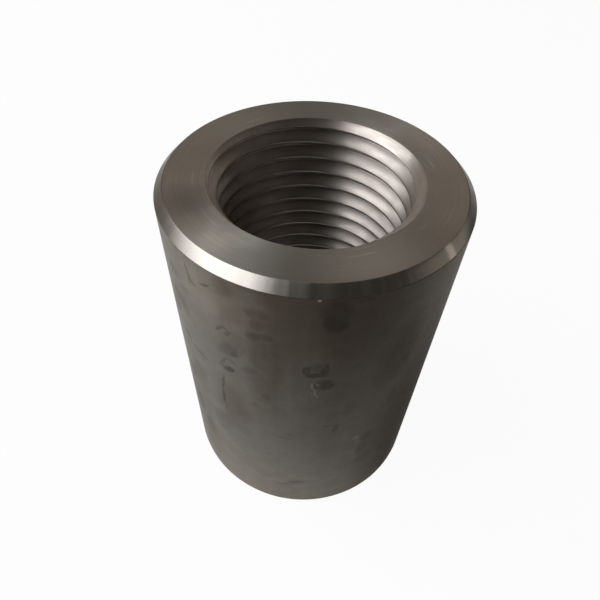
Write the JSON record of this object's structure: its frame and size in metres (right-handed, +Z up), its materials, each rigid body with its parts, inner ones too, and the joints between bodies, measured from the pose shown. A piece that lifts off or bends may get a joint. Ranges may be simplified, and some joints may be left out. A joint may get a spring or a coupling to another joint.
{
  "type": "rebar coupler",
  "caption": "Round turned steel sleeve, open from end to end, with a right-hand internal thread that joins reinforcing bars end to end.",
  "frame": {"origin": "centre of the lower end face, on the axis of the bore", "axes": "+Z up along the axis of the bore; the sleeve is round, so X and Y are alike"},
  "size_m": [0.048, 0.048, 0.0665],
  "materials": {
    "steel": "dark mill scale on the outside, bare turned steel on the end faces, the chamfers and in the thread"
  },
  "bodies": {
    "root": {"sleeve": "steel"}
  },
  "joints": []
}
